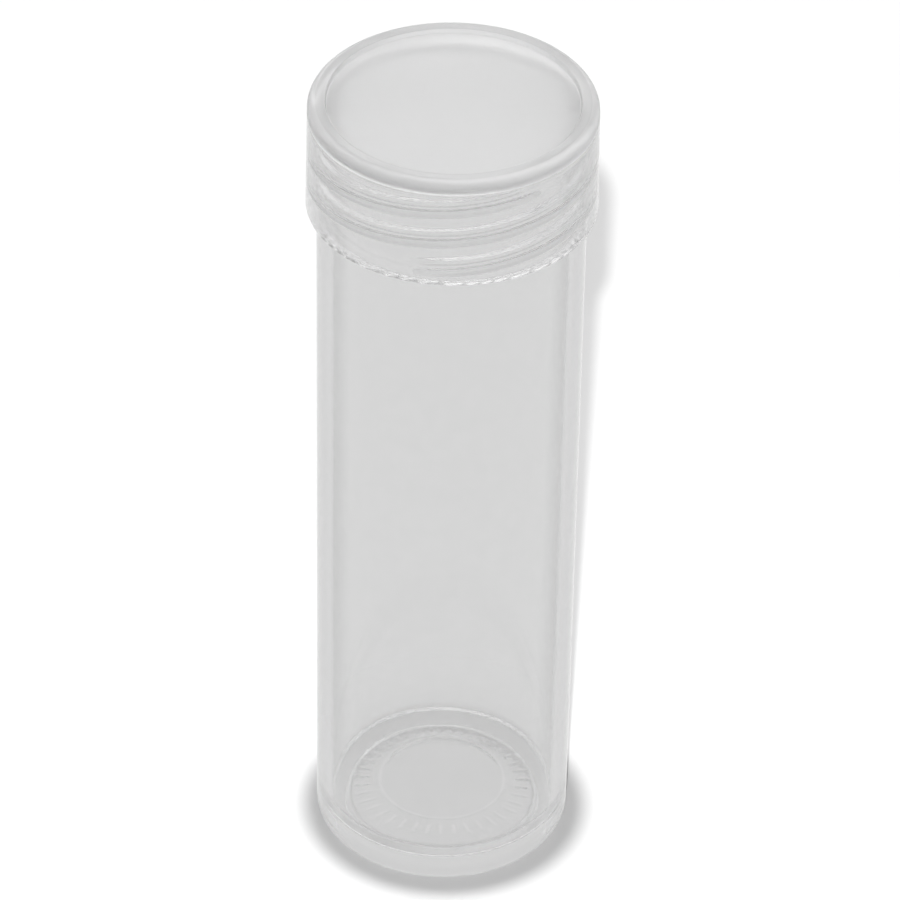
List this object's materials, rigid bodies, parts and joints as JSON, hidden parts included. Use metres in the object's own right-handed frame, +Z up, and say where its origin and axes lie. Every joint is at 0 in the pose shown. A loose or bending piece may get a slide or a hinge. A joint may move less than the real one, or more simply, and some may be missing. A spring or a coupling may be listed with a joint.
{
  "type": "coin tube",
  "caption": "Clear round plastic tube for a stack of coins, with a foot ring, a stepped neck and a see-through screw cap.",
  "frame": {"origin": "centre of the foot ring, on the plane that the tube stands on", "axes": "+Z up along the tube's axis, towards the cap; -Y faces the picture's camera; +X to the right"},
  "size_m": [0.0268, 0.0268, 0.0837],
  "materials": {
    "tube_plastic": "clear moulded plastic with a slight haze",
    "cap_plastic": "clear moulded plastic, satin on the recessed disc"
  },
  "bodies": {
    "tube": {"tube_body": "tube_plastic"},
    "cap_axis": {"cap_gate_pip": "cap_plastic"},
    "cap": {"screw_cap": "cap_plastic"}
  },
  "joints": [
    {"name": "cap_lift", "type": "slide", "parent": "tube", "child": "cap_axis", "axis": [0, 0, 1], "range_m": [0, 0.0096]},
    {"name": "cap_turn", "type": "hinge", "parent": "cap_axis", "child": "cap", "pos_m": [0, 0, 0.0817], "axis": [0, 0, 1], "range_deg": [0, 540]}
  ],
  "couplings": [
    {"joint": "cap_lift", "follows": "cap_turn", "m_per_rad": 0.0010186}
  ]
}
